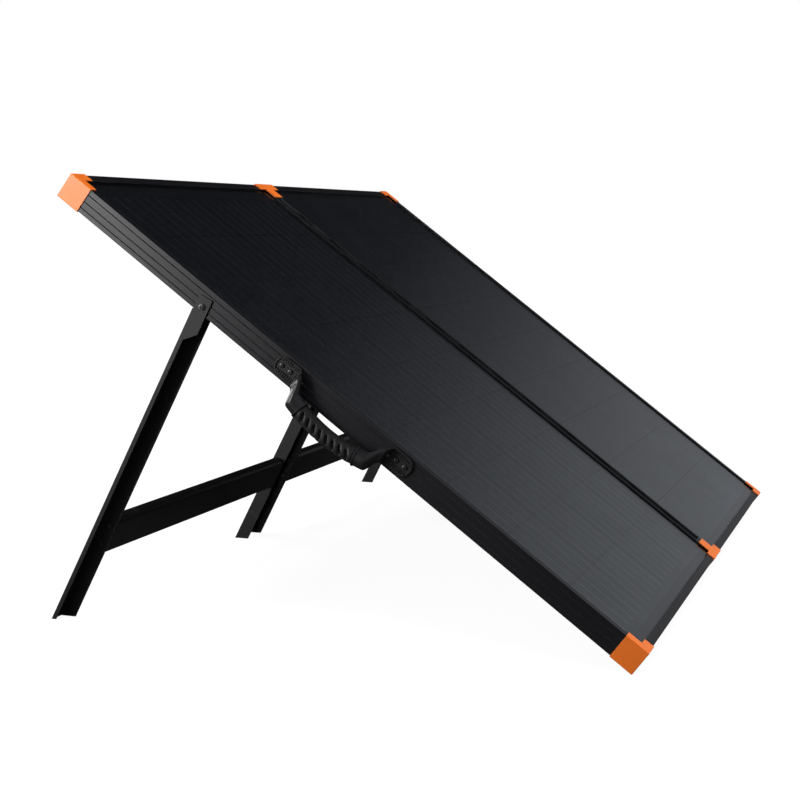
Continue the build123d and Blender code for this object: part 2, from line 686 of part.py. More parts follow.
def crossbar_section(inset):
    """Rounded box section of the crossbar on a leg plane, shrunk by an inset."""
    with Locations((CROSSBAR_FROM_PIVOT, CROSSBAR_FRONT)):
        RectangleRounded(
            CROSSBAR_WIDTH - 2 * inset,
            CROSSBAR_DEPTH - 2 * inset,
            CROSSBAR_ROUND - inset,
        )


for name, side in SIDES:
    with BuildPart() as outer_leg:
        add_leg(side * OUTER_FACE, side, OUTER_EAR_FACE, True, OUTER_EAR_ROUND)
    save(outer_leg, f"{name}_outer_leg")

    with BuildPart() as inner_leg:
        add_leg(side * HALF_GAP, -side, INNER_EAR_FACE, False, INNER_EAR_ROUND)
    save(inner_leg, f"{name}_inner_leg")

    bar_ends = sorted(
        (
            side * (OUTER_FACE + OUTER_EAR_FACE - LEG_WIDTH - END_FIT),
            side * (HALF_GAP - INNER_EAR_FACE + LEG_WIDTH + END_FIT),
        )
    )
    with BuildPart() as crossbar:
        with BuildSketch(leg_plane(bar_ends[1])):
            crossbar_section(0)
        extrude(amount=bar_ends[1] - bar_ends[0])
        with BuildSketch(leg_plane(bar_ends[1])):
            crossbar_section(CROSSBAR_WALL)
        extrude(amount=bar_ends[1] - bar_ends[0], mode=Mode.SUBTRACT)
    save(crossbar, f"{name}_crossbar")

    with BuildPart() as crossbar_plugs:
        for start in (bar_ends[1], bar_ends[0] + PLUG_DEPTH):
            with BuildSketch(leg_plane(start)):
                crossbar_section(CROSSBAR_WALL + END_FIT)
                with Locations((CROSSBAR_FROM_PIVOT, CROSSBAR_FRONT)):
                    with GridLocations(PLUG_SCREW_SPACING, 0, 2, 1):
                        Circle(PLUG_SCREW_RADIUS, mode=Mode.SUBTRACT)
            extrude(amount=PLUG_DEPTH)
    save(crossbar_plugs, f"{name}_crossbar_plugs")

    with BuildPart() as crossbar_screws:
        for bar_end, inward in ((bar_ends[0], 1), (bar_ends[1], -1)):
            head_x = bar_end - inward * (LEG_GAUGE + END_FIT)
            with BuildSketch(leg_plane(head_x)):
                with Locations((CROSSBAR_FROM_PIVOT, CROSSBAR_FRONT)):
                    with GridLocations(PLUG_SCREW_SPACING, 0, 2, 1):
                        Circle(PLUG_SCREW_RADIUS)
            extrude(amount=-inward * PLUG_SCREW_LENGTH)
            with BuildSketch(leg_plane(head_x)):
                with Locations((CROSSBAR_FROM_PIVOT, CROSSBAR_FRONT)):
                    with GridLocations(PLUG_SCREW_SPACING, 0, 2, 1):
                        Circle(PLUG_SCREW_HEAD_RADIUS)
            extrude(amount=inward * PLUG_SCREW_HEAD)
    save(crossbar_screws, f"{name}_crossbar_screws")


# ------------------------------------------------------------------ stand pivots
def add_turned(face_x, out, low, high, radius, bore=0.0):
    """A disc, shank or ring on the pivot axis, between two distances outside a rail face."""
    plane, thickness = slab(face_x, out, low, high)
    with BuildSketch(plane) as disc:
        Circle(radius)
        if bore:
            Circle(bore, mode=Mode.SUBTRACT)
    extrude(disc.sketch, amount=thickness)


for name, side in SIDES:
    outer_x = side * OUTER_FACE
    seam_x = side * HALF_GAP
    head_seat = OUTER_EAR_FACE + HEAD_CLEARANCE
    bore = RIVET_RADIUS + RIVET_FIT
    with BuildPart() as pivot_rivets:
        add_turned(outer_x, side, -INNER_WEB_END, head_seat, RIVET_RADIUS)
        add_turned(outer_x, side, head_seat, head_seat + RIVET_HEAD, RIVET_HEAD_RADIUS)
        add_turned(outer_x, side, -INNER_WEB_END - RIVET_HEAD, -INNER_WEB_END, RIVET_HEAD_RADIUS)
        add_turned(seam_x, -side, -INNER_WEB_END, TAIL_HEAD, RIVET_RADIUS)
        add_turned(seam_x, -side, 0, TAIL_HEAD, RIVET_HEAD_RADIUS)
        add_turned(seam_x, -side, -INNER_WEB_END - RIVET_HEAD, -INNER_WEB_END, RIVET_HEAD_RADIUS)
    save(pivot_rivets, f"{name}_pivot_rivets")

    with BuildPart() as pivot_bushes:
        add_turned(outer_x, side, 0, OUTER_EAR_FACE - LEG_GAUGE - STOP_CLEARANCE, BUSH_RADIUS, bore)
        add_turned(
            seam_x,
            -side,
            -CHAMBER_END,
            INNER_EAR_FACE - LEG_GAUGE - STOP_CLEARANCE,
            BUSH_RADIUS,
            bore,
        )
    save(pivot_bushes, f"{name}_pivot_bushes")


# ------------------------------------------------------------------ handle
HANDLE_FACE = -OUTER_FACE
HANDLE_AXIS = (HANDLE_FACE - HANDLE_OUT, BRACKET_MIDDLE)
COLLAR_END = (HANDLE_FACE - GRIP_OUT, BRACKET_MIDDLE - COLLAR_DROP)
GRIP_RISE = GRIP_DROP - COLLAR_DROP
GRIP_BEND = (COLLAR_HALF**2 + GRIP_RISE**2) / (2 * GRIP_RISE)
ROOM = 20.0


def grip_drop(y):
    """How far the arched grip's line hangs below the pivots, at a place along it."""
    return GRIP_DROP - GRIP_BEND + math.sqrt(GRIP_BEND**2 - y**2)


def sweep_grip(radius, mode=Mode.ADD):
    """A round bar of the given radius along the arched line from collar to collar."""
    with BuildLine(side_on(HANDLE_FACE - GRIP_OUT, 0, BRACKET_MIDDLE)) as path:
        ThreePointArc((COLLAR_HALF, -COLLAR_DROP), (0, -GRIP_DROP), (-COLLAR_HALF, -COLLAR_DROP))
    with BuildSketch(Plane(path.line @ 0, z_dir=path.line % 0)) as section:
        Circle(radius)
    sweep(section.sketch, path=path.line, mode=mode)


def between_collars(mode):
    """Everything along the handle between its two collars."""
    with BuildSketch(side_on(HANDLE_FACE - GRIP_OUT - ROOM, 0, BRACKET_MIDDLE - GRIP_DROP)) as room:
        Rectangle(2 * GRIP_HALF, 2 * ROOM)
    extrude(room.sketch, amount=2 * ROOM, mode=mode)


def along_slope(sign, start, length):
    """The upper end of a span that starts that far from the handle's middle, on either side."""
    return sign * start if sign > 0 else length - start


for name, sign in (("upper", 1), ("lower", -1)):
    plate_y = sign * BRACKET_SPACING / 2
    plate_plane = side_on(HANDLE_FACE, plate_y, BRACKET_MIDDLE)
    plate_face = plate_plane.offset(-BRACKET_GAUGE)
    lug_end = end_on(along_slope(sign, LUG_START + LUG_LENGTH, LUG_LENGTH))
    with BuildPart() as bracket:
        with BuildSketch(plate_plane):
            plate = Rectangle(BRACKET_LENGTH, BRACKET_HEIGHT)
            along = plate.vertices().sort_by(Axis.X, reverse=sign < 0)
            fillet(along[2:4], BRACKET_HEIGHT / 2 - BRACKET_ROUND)
        extrude(amount=-BRACKET_GAUGE)
        with BuildSketch(plate_face):
            for row in (1, -1):
                with Locations((-sign * BRACKET_ROUND, row * (BRACKET_HEIGHT / 2 - BRACKET_RIB_INSET))):
                    with GridLocations(BRACKET_RIB_PITCH, 0, BRACKET_RIBS, 1):
                        Rectangle(*BRACKET_RIB_SIZE)
        extrude(amount=-BRACKET_RIB_HEIGHT)
        with BuildSketch(lug_end) as lug:
            with BuildLine():
                Polyline(
                    (HANDLE_FACE, BRACKET_MIDDLE + BRACKET_HEIGHT / 2),
                    (HANDLE_FACE - BRACKET_GAUGE, BRACKET_MIDDLE + BRACKET_HEIGHT / 2 - LUG_TAPER),
                    (HANDLE_FACE - BRACKET_GAUGE, BRACKET_MIDDLE - BRACKET_HEIGHT / 2 + LUG_TAPER),
                    (HANDLE_FACE, BRACKET_MIDDLE - BRACKET_HEIGHT / 2),
                    close=True,
                )
            make_face()
            with Locations(HANDLE_AXIS):
                Circle(HUB_RADIUS)
            make_hull(lug.edges())
        extrude(amount=LUG_LENGTH)
        with BuildSketch(lug_end):
            with Locations(HANDLE_AXIS):
                Circle(HANDLE_PIN_RADIUS)
        extrude(amount=LUG_LENGTH, mode=Mode.SUBTRACT)
        with BuildSketch(plate_plane):
            with GridLocations(BRACKET_SCREW_SPACING, 0, 2, 1):
                Circle(BRACKET_SCREW_RADIUS + RIVET_FIT)
        extrude(amount=-BRACKET_GAUGE, mode=Mode.SUBTRACT)
    save(bracket, f"handle_{name}_bracket")

with BuildPart() as bracket_screws:
    for sign in (1, -1):
        plate_plane = side_on(HANDLE_FACE, sign * BRACKET_SPACING / 2, BRACKET_MIDDLE)
        with BuildSketch(plate_plane.offset(-BRACKET_GAUGE)):
            with GridLocations(BRACKET_SCREW_SPACING, 0, 2, 1):
                Circle(BRACKET_SCREW_HEAD_RADIUS)
        extrude(amount=-BRACKET_SCREW_HEAD)
        with BuildSketch(plate_plane.offset(-BRACKET_GAUGE)):
            with GridLocations(BRACKET_SCREW_SPACING, 0, 2, 1):
                Circle(BRACKET_SCREW_RADIUS)
        extrude(amount=BRACKET_GAUGE + CHAMBER_END - BRACKET_SCREW_TIP)
save(bracket_screws, "handle_bracket_screws")

with BuildPart() as handle_pins:
    for sign in (1, -1):
        pin_length = LUG_LENGTH + HUB_GAP + HUB_LENGTH
        with BuildSketch(end_on(along_slope(sign, LUG_START + LUG_LENGTH, pin_length))):
            with Locations(HANDLE_AXIS):
                Circle(HANDLE_PIN_RADIUS)
        extrude(amount=pin_length)
save(handle_pins, "handle_pins")

with BuildPart() as bail:
    sweep_grip(COLLAR_RADIUS)
    between_collars(Mode.SUBTRACT)
    sweep_grip(CORE_RADIUS)
    for sign in (1, -1):
        arm_end = end_on(along_slope(sign, LUG_START - HUB_GAP, ARM_LENGTH))
        with BuildSketch(arm_end) as arm:
            with Locations(HANDLE_AXIS):
                Circle(HUB_RADIUS)
            with Locations(COLLAR_END):
                Circle(COLLAR_RADIUS)
            make_hull(arm.edges())
        extrude(amount=ARM_LENGTH)
        with BuildSketch(end_on(along_slope(sign, LUG_START - HUB_GAP, HUB_LENGTH))):
            with Locations(HANDLE_AXIS):
                Circle(HANDLE_PIN_RADIUS + RUNNING_CLEARANCE)
        extrude(amount=HUB_LENGTH, mode=Mode.SUBTRACT)
save(bail, "handle_bail")

with BuildPart() as grip:
    sweep_grip(GRIP_RADIUS)
    between_collars(Mode.INTERSECT)
    notch_face = HANDLE_FACE - GRIP_OUT - GRIP_RADIUS
    for index in range(GRIP_NOTCHES):
        notch_y = (index - (GRIP_NOTCHES - 1) / 2) * GRIP_NOTCH_PITCH
        with BuildSketch(side_on(notch_face, notch_y, BRACKET_MIDDLE - grip_drop(notch_y))):
            SlotOverall(*GRIP_NOTCH_SIZE, rotation=90)
        extrude(amount=GRIP_NOTCH_DEPTH, mode=Mode.SUBTRACT)
    sweep_grip(CORE_RADIUS, mode=Mode.SUBTRACT)
save(grip, "handle_grip")
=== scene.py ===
import json
import math

import bmesh
import bpy
from mathutils import Matrix, Vector


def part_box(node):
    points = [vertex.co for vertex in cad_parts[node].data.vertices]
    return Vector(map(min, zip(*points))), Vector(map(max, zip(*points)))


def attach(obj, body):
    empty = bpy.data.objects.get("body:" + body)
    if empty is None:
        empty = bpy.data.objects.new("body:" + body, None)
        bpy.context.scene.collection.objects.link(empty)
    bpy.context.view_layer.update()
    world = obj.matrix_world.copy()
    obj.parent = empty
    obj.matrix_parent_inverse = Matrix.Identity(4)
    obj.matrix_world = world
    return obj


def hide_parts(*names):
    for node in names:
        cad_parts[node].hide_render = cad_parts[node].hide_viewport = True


# Looks for the solar suitcase kit. Lengths are in metres in the row frame: +X across the two
# panels, +Y towards their high edge, +Z up.

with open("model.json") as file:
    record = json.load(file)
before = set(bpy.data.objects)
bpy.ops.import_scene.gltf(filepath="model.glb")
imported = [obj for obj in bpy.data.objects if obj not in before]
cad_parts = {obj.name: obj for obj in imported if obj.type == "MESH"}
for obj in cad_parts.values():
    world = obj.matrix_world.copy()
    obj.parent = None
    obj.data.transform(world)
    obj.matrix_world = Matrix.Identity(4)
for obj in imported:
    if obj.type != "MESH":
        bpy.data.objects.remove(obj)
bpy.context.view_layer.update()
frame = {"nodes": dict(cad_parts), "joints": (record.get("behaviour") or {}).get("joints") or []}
nodes = frame["nodes"]
joints = {joint["name"]: joint for joint in frame["joints"]}

# ------------------------------------------------------------------ deck frame
# Deck coordinates run across the seam, up the slope and out of the glass. Their origin is the
# middle of the seam, on the front face of the frames.
HINGE_RISE = 0.002
ACROSS = Vector((1, 0, 0))
UPSLOPE = -Vector(joints["panel_fold"]["axis"]).normalized()
NORMAL = ACROSS.cross(UPSLOPE)
DECK = Vector(joints["panel_fold"]["pos_m"]) - NORMAL * HINGE_RISE
TILT = math.atan2(UPSLOPE.z, UPSLOPE.y)
TO_ROW = Matrix.Translation(DECK) @ Matrix((ACROSS, UPSLOPE, NORMAL)).transposed().to_4x4()
TO_DECK = TO_ROW.inverted()

PANELS = (("near", -1), ("far", 1))


def deck_box(node):
    """Lowest and highest corner of a CAD node in deck coordinates."""
    corners = [TO_DECK @ vertex.co for vertex in nodes[node].data.vertices]
    low = Vector([min(corner[axis] for corner in corners) for axis in range(3)])
    high = Vector([max(corner[axis] for corner in corners) for axis in range(3)])
    return low, high


# ------------------------------------------------------------------ node helpers
class Paint:
    """A Principled material whose texture coordinates are the deck's, fixed to the piece."""

    def __init__(self, name, color, roughness, **sockets):
        self.material = bpy.data.materials.new(name)
        self.material.use_nodes = True
        self.tree = self.material.node_tree
        self.shader = self.tree.nodes["Principled BSDF"]
        self.set(self.shader, "Base Color", (*color, 1))
        self.set(self.shader, "Roughness", roughness)
        for socket, value in sockets.items():
            self.set(self.shader, socket.replace("_", " "), value)
        coordinates = self.node("ShaderNodeTexCoord")
        self.place = self.node("ShaderNodeMapping", vector_type="TEXTURE")
        self.set(self.place, "Location", DECK)
        self.set(self.place, "Rotation", (TILT, 0, 0))
        self.link(coordinates.outputs["Object"], self.place.inputs["Vector"])
        self.heights = []

    def node(self, kind, **settings):
        made = self.tree.nodes.new(kind)
        for name, value in settings.items():
            setattr(made, name, value)
        return made

    def set(self, node, socket, value):
        node.inputs[socket].default_value = value

    def link(self, output, socket):
        self.tree.links.new(output, socket)

    def stretched(self, scale):
        """Deck coordinates scaled by a vector."""
        mapping = self.node("ShaderNodeMapping")
        self.set(mapping, "Scale", scale)
        self.link(self.place.outputs["Vector"], mapping.inputs["Vector"])
        return mapping.outputs["Vector"]

    def noise(self, scale, detail=3.0, stretch=(1, 1, 1), roughness=0.5):
        texture = self.node("ShaderNodeTexNoise")
        self.set(texture, "Scale", scale)
        self.set(texture, "Detail", detail)
        self.set(texture, "Roughness", roughness)
        self.link(self.stretched(stretch), texture.inputs["Vector"])
        return texture.outputs["Fac"]

    def grain(self, scale, stretch=(1, 1, 1)):
        """Rounded cells, for moulded grain and powder coat."""
        texture = self.node("ShaderNodeTexVoronoi")
        self.set(texture, "Scale", scale)
        self.link(self.stretched(stretch), texture.inputs["Vector"])
        return texture.outputs["Distance"]

    def ranged(self, value, low, high, out_low, out_high):
        mapped = self.node("ShaderNodeMapRange")
        self.link(value, mapped.inputs["Value"])
        for socket, number in (
            ("From Min", low),
            ("From Max", high),
            ("To Min", out_low),
            ("To Max", out_high),
        ):
            self.set(mapped, socket, number)
        return mapped.outputs["Result"]

    def math(self, operation, first, second=0.0):
        made = self.node("ShaderNodeMath", operation=operation)
        for index, value in enumerate((first, second)):
            if isinstance(value, (int, float)):
                made.inputs[index].default_value = value
            else:
                self.link(value, made.inputs[index])
        return made.outputs["Value"]

    def blend(self, factor, first, second):
        """Colour between two colours or colour outputs."""
        mix = self.node("ShaderNodeMix", data_type="RGBA")
        self.link(factor, mix.inputs["Factor"])
        for socket, value in ((mix.inputs[6], first), (mix.inputs[7], second)):
            if isinstance(value, tuple):
                socket.default_value = (*value, 1)
            else:
                self.link(value, socket)
        return mix.outputs[2]

    def edge(self, radius, low=0.02, high=0.3):
        """1 along sharp edges and 0 on flat faces."""
        bevel = self.node("ShaderNodeBevel", samples=4)
        self.set(bevel, "Radius", radius)
        geometry = self.node("ShaderNodeNewGeometry")
        product = self.node("ShaderNodeVectorMath", operation="DOT_PRODUCT")
        self.link(bevel.outputs["Normal"], product.inputs[0])
        self.link(geometry.outputs["Normal"], product.inputs[1])
        return self.ranged(product.outputs["Value"], 1 - low, 1 - high, 0, 1)

    def color(self, output):
        self.link(output, self.shader.inputs["Base Color"])

    def rough(self, output):
        self.link(output, self.shader.inputs["Roughness"])

    def bump(self, height, depth, strength=1.0):
        """Adds a bump of a depth in metres, over the ones already there."""
        bump = self.node("ShaderNodeBump")
        self.set(bump, "Strength", strength)
        self.set(bump, "Distance", depth)
        self.link(height, bump.inputs["Height"])
        if self.heights:
            self.link(self.heights[-1], bump.inputs["Normal"])
        self.heights.append(bump.outputs["Normal"])
        self.link(bump.outputs["Normal"], self.shader.inputs["Normal"])


def black_anodised(name, stretch, specular):
    """Satin black anodised extrusion with fine draw lines along its length."""
    paint = Paint(name, (0.007, 0.007, 0.008), 0.4, Specular_IOR_Level=specular)
    lines = paint.noise(30.0, 4.0, stretch, 0.65)
    patches = paint.noise(7.0, 3.0)
    tone = paint.blend(patches, (0.005, 0.005, 0.006), (0.009, 0.009, 0.011))
    worn = paint.math("MULTIPLY", paint.edge(0.0008), paint.ranged(patches, 0.3, 0.7, 0.15, 0.6))
    paint.color(paint.blend(worn, tone, (0.10, 0.10, 0.11)))
    paint.rough(paint.ranged(lines, 0.3, 0.7, 0.30, 0.42))
    paint.bump(lines, 0.00002, 0.6)
    return paint.material


def powder_coat():
    """Satin black powder coat on the folded legs and the crossbars."""
    paint = Paint("powder_coat", (0.006, 0.006, 0.007), 0.42, Specular_IOR_Level=0.4)
    patches = paint.noise(5.0, 4.0)
    tone = paint.blend(patches, (0.004, 0.004, 0.0045), (0.008, 0.008, 0.009))
    scuffs = paint.ranged(paint.noise(60.0, 5.0, (1, 0.2, 1)), 0.62, 0.75, 0, 0.3)
    worn = paint.math("MULTIPLY", paint.edge(0.0009), paint.ranged(patches, 0.35, 0.7, 0.2, 0.8))
    paint.color(paint.blend(paint.math("MAXIMUM", worn, scuffs), tone, (0.045, 0.045, 0.048)))
    paint.rough(paint.ranged(patches, 0.3, 0.7, 0.36, 0.5))
    paint.bump(paint.noise(900.0, 2.0), 0.00003, 0.5)
    return paint.material


def orange_plastic():
    """Semi-gloss moulded orange plastic with a faint grain, and a painted highlight along every edge.
    """
    paint = Paint("orange_plastic", (0.93, 0.22, 0.03), 0.35, Specular_IOR_Level=0.45)
    patches = paint.noise(16.0, 3.0)
    tone = paint.blend(patches, (0.86, 0.172, 0.016), (0.95, 0.21, 0.026))
    # Every edge is painted a lighter orange by the same amount: a painted highlight where light would
    # catch the edges.
    paint.color(paint.blend(paint.math("MULTIPLY", paint.edge(0.001), 0.45), tone, (1.0, 0.36, 0.09)))
    paint.rough(paint.ranged(patches, 0.3, 0.7, 0.3, 0.42))
    paint.bump(paint.noise(1400.0, 2.0), 0.00002, 0.45)
    return paint.material


def moulded_black(name, tone, roughness, grain):
    """Black moulded plastic or rubber with a fine grain."""
    paint = Paint(name, tone, roughness, Specular_IOR_Level=0.5)
    patches = paint.noise(24.0, 3.0)
    dark = tuple(channel * 0.75 for channel in tone)
    light = tuple(channel * 1.35 for channel in tone)
    worn = paint.math("MULTIPLY", paint.edge(0.0007), paint.ranged(patches, 0.35, 0.65, 0.1, 0.55))
    paint.color(paint.blend(worn, paint.blend(patches, dark, light), (0.05, 0.05, 0.053)))
    paint.rough(paint.ranged(patches, 0.3, 0.7, roughness - 0.06, roughness + 0.08))
    paint.bump(paint.grain(grain), 0.00004, 0.5)
    return paint.material


def dark_steel():
    """Blackened steel of the pins, rivets and screws, with turning marks."""
    paint = Paint("dark_steel", (0.06, 0.06, 0.064), 0.34, Metallic=0.9)
    marks = paint.noise(220.0, 3.0)
    paint.color(paint.blend(marks, (0.035, 0.035, 0.038), (0.1, 0.1, 0.105)))
    paint.rough(paint.ranged(marks, 0.3, 0.7, 0.26, 0.44))
    paint.bump(marks, 0.00002, 0.5)
    return paint.material


def bare_metal(name, low, high, roughness):
    """Unpainted metal with a cast or rolled surface."""
    paint = Paint(name, high, roughness, Metallic=1.0)
    cast = paint.noise(140.0, 4.0)
    paint.color(paint.blend(cast, low, high))
    paint.rough(paint.ranged(cast, 0.3, 0.7, roughness - 0.08, roughness + 0.1))
    paint.bump(cast, 0.00003, 0.5)
    return paint.material


def solar_glass():
    """A clear pane: mirrors by the angle it is seen at and lets the rest through."""
    material = bpy.data.materials.new("solar_glass")
    material.use_nodes = True
    tree = material.node_tree
    tree.nodes.remove(tree.nodes["Principled BSDF"])
    output = tree.nodes["Material Output"]
    clear = tree.nodes.new("ShaderNodeBsdfTransparent")
    clear.inputs["Color"].default_value = (0.93, 0.95, 0.95, 1)
    mirror = tree.nodes.new("ShaderNodeBsdfGlossy")
    mirror.inputs["Roughness"].default_value = 0.09
    mirror.inputs["Color"].default_value = (0.93, 0.96, 1.0, 1)
    fresnel = tree.nodes.new("ShaderNodeFresnel")
    fresnel.inputs["IOR"].default_value = 1.45
    geometry = tree.nodes.new("ShaderNodeNewGeometry")
    front = tree.nodes.new("ShaderNodeMath")
    front.operation = "SUBTRACT"
    front.inputs[0].default_value = 1.0
    share = tree.nodes.new("ShaderNodeMath")
    share.operation = "MULTIPLY"
    mix = tree.nodes.new("ShaderNodeMixShader")
    tree.links.new(geometry.outputs["Backfacing"], front.inputs[1])
    tree.links.new(fresnel.outputs["Fac"], share.inputs[0])
    tree.links.new(front.outputs["Value"], share.inputs[1])
    tree.links.new(share.outputs["Value"], mix.inputs["Fac"])
    tree.links.new(clear.outputs["BSDF"], mix.inputs[1])
    tree.links.new(mirror.outputs["BSDF"], mix.inputs[2])
    tree.links.new(mix.outputs["Shader"], output.inputs["Surface"])
    return material


FINGER_PITCH = 0.0016
FINGER_SHARE = 0.06


def silicon():
    """Near-black cell with a dark blue cast and fine silver fingers across its busbars."""
    paint = Paint("silicon", (0.004, 0.0045, 0.007), 0.38, Specular_IOR_Level=0.3)
    patches = paint.noise(9.0, 3.0)
    tone = paint.blend(patches, (0.003, 0.0035, 0.006), (0.006, 0.007, 0.010))
    split = paint.node("ShaderNodeSeparateXYZ")
    paint.link(paint.stretched((1, 1 / FINGER_PITCH, 1)), split.inputs["Vector"])
    row = paint.math("FRACT", split.outputs["Y"])
    finger = paint.math("MULTIPLY", paint.math("LESS_THAN", row, FINGER_SHARE), 0.3)
    paint.color(paint.blend(finger, tone, (0.2, 0.205, 0.21)))
    paint.rough(paint.ranged(patches, 0.3, 0.7, 0.33, 0.45))
    return paint.material


def laminate_back():
    """Matt black backsheet with a fine pressed texture."""
    paint = Paint("laminate_back", (0.007, 0.007, 0.008), 0.55, Specular_IOR_Level=0.35)
    patches = paint.noise(3.0, 4.0)
    paint.color(paint.blend(patches, (0.005, 0.005, 0.006), (0.009, 0.009, 0.011)))
    paint.rough(paint.ranged(patches, 0.3, 0.7, 0.48, 0.62))
    paint.bump(paint.noise(500.0, 3.0), 0.00003, 0.4)
    return paint.material


ALONG_RAIL = (1, 0.004, 1)
ACROSS_RAIL = (0.004, 1, 1)
side_rail_paint = black_anodised("anodised_side_rail", tuple(30 * s for s in ALONG_RAIL), 0.38)
end_rail_paint = black_anodised("anodised_end_rail", tuple(30 * s for s in ACROSS_RAIL), 0.2)
PAINTS = {
    "backsheet": laminate_back(),
    "bare_aluminium": bare_metal("cast_aluminium", (0.5, 0.5, 0.51), (0.7, 0.7, 0.72), 0.42),
    "black_frame": side_rail_paint,
    "black_hinge": moulded_black("hinge_coat", (0.006, 0.006, 0.007), 0.4, 900.0),
    "black_plastic": moulded_black("moulded_plastic", (0.008, 0.008, 0.009), 0.48, 1300.0),
    "black_stand": powder_coat(),
    "contact_brass": bare_metal("plated_brass", (0.5, 0.34, 0.13), (0.72, 0.52, 0.22), 0.3),
    "grip_rubber": moulded_black("grip_rubber", (0.006, 0.006, 0.0065), 0.5, 1600.0),
    "handle_plastic": moulded_black("handle_nylon", (0.008, 0.008, 0.009), 0.36, 1800.0),
    "orange_cap": orange_plastic(),
    "seal": moulded_black("edge_seal", (0.006, 0.006, 0.006), 0.6, 700.0),
    "solar_cell": silicon(),
    "solar_glass": solar_glass(),
    "steel_fastener": dark_steel(),
}
# The far panel's ribbons are the same tinned ribbon painted much darker: painted shade on the far
# panel, not a different finish.
RIBBON_PAINTS = {
    "near": bare_metal("tinned_ribbon", (0.42, 0.43, 0.44), (0.62, 0.63, 0.64), 0.33),
    "far": bare_metal("far_ribbon_painted_shade", (0.08, 0.08, 0.085), (0.14, 0.14, 0.145), 0.4),
}

for name, node in nodes.items():
    slot = node.data.materials[0].name.split(".")[0]
    paint = end_rail_paint if name.endswith(("top_rail", "bottom_rail")) else PAINTS[slot]
    node.material_slots[0].link = "DATA"
    node.material_slots[0].material = paint


# ------------------------------------------------------------------ mesh helpers
def finish_piece(name, mesh_data, body, paint, smooth_angle=None):
    """Makes a piece from a bmesh in deck coordinates and puts it on a body."""
    bmesh.ops.recalc_face_normals(mesh_data, faces=mesh_data.faces)
    mesh = bpy.data.meshes.new(name)
    mesh_data.to_mesh(mesh)
    mesh_data.free()
    mesh.transform(TO_ROW)
    piece = bpy.data.objects.new(name, mesh)
    bpy.context.scene.collection.objects.link(piece)
    mesh.materials.append(paint)
    if smooth_angle:
        mesh.shade_smooth()
        mesh.set_sharp_from_angle(angle=math.radians(smooth_angle))
    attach(piece, body)
    return piece


def add_prism(mesh_data, outline, low, high):
    """A prism over a closed outline of (x, y) points, between two heights."""
    base = [mesh_data.verts.new((x, y, low)) for x, y in outline]
    top = [mesh_data.verts.new((x, y, high)) for x, y in outline]
    mesh_data.faces.new(base[::-1])
    mesh_data.faces.new(top)
    for index in range(len(outline)):
        after = (index + 1) % len(outline)
        mesh_data.faces.new((base[index], base[after], top[after], top[index]))


# ------------------------------------------------------------------ solar cells and ribbons
CELL_SIZE = (0.15675, 0.1045)
CELL_GRID = (4, 9)
CELL_SPACING = 0.003
CELL_CHAMFER = 0.004
CELL_THICKNESS = 0.00012
RIBBONS_PER_CELL = 5
RIBBON_WIDTH = 0.0011
RIBBON_HEIGHT = 0.0001
RIBBON_END_MARGIN = 0.014


def cell_outline(x, y):
    """A cut wafer: two square corners, and two chamfered ones on its upper edge."""
    half_x, half_y = CELL_SIZE[0] / 2, CELL_SIZE[1] / 2
    return [
        (x - half_x, y - half_y),
        (x + half_x, y - half_y),
        (x + half_x, y + half_y - CELL_CHAMFER),
        (x + half_x - CELL_CHAMFER, y + half_y),
        (x - half_x + CELL_CHAMFER, y + half_y),
        (x - half_x, y + half_y - CELL_CHAMFER),
    ]


def grid_places(count, pitch):
    return [(index - (count - 1) / 2) * pitch for index in range(count)]


for panel, side in PANELS:
    low, high = deck_box(f"{panel}_cells")
    middle = (low + high) / 2
    columns = grid_places(CELL_GRID[0], CELL_SIZE[0] + CELL_SPACING)
    rows = grid_places(CELL_GRID[1], CELL_SIZE[1] + CELL_SPACING)
    array = bmesh.new()
    for column in columns:
        for row in rows:
            outline = cell_outline(middle.x + column, middle.y + row)
            add_prism(array, outline, low.z, low.z + CELL_THICKNESS)
    body = f"{panel}_panel"
    array_name = f"{panel}_cell_array"
    array = finish_piece(array_name, array, body, PAINTS["solar_cell"])
    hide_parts(f"{panel}_cells")

    ribbons = bmesh.new()
    ribbon_low = low.z + CELL_THICKNESS
    for column in columns:
        for offset in grid_places(RIBBONS_PER_CELL, CELL_SIZE[0] / RIBBONS_PER_CELL):
            x = middle.x + column + offset
            outline = [
                (x - RIBBON_WIDTH / 2, low.y + RIBBON_END_MARGIN),
                (x + RIBBON_WIDTH / 2, low.y + RIBBON_END_MARGIN),
                (x + RIBBON_WIDTH / 2, high.y - RIBBON_END_MARGIN),
                (x - RIBBON_WIDTH / 2, high.y - RIBBON_END_MARGIN),
            ]
            add_prism(ribbons, outline, ribbon_low, ribbon_low + RIBBON_HEIGHT)
    finish_piece(f"{panel}_cell_ribbons", ribbons, body, RIBBON_PAINTS[panel])


# ------------------------------------------------------------------ carrying handle
# Handle sections are placed by how far they stand out of the near panel's side face, how far
# along the slope they are, and their height from the front face.
SIDE_FACE = deck_box("near_outer_rail")[0].x
HANDLE_PIVOT = TO_DECK @ Vector(joints["handle_swing"]["pos_m"])
PIVOT_OUT = SIDE_FACE - HANDLE_PIVOT.x
GRIP_OUT = 0.0165
GRIP_DROP = 0.033
COLLAR_DROP = 0.0225
COLLAR_REACH = 0.068
COLLAR_RADIUS = 0.0128
COLLAR_LIP = 0.0010
GRIP_REACH = 0.048
GRIP_RADIUS = 0.0118
GRIP_RIDGE = 0.0008
GRIP_NOTCHES = 8
GRIP_NOTCH_PITCH = 0.011
GRIP_NOTCH_SIZE = (0.0048, 0.0130)
GRIP_NOTCH_DEPTH = 0.0034
GRIP_NOTCH_SLANT = -0.5
GRIP_STEPS = 240
ROUND_STEPS = 48
NOTCH_EDGE = (1.15, 0.4)
RIDGE_SPREAD = (1.7, 0.9)
GRIP_END_ROUND = (0.002, 0.0012)
ARM_START = 0.0775
ARM_END = COLLAR_REACH - 0.004
ARM_STEPS = 14
ARM_DROP = 0.004
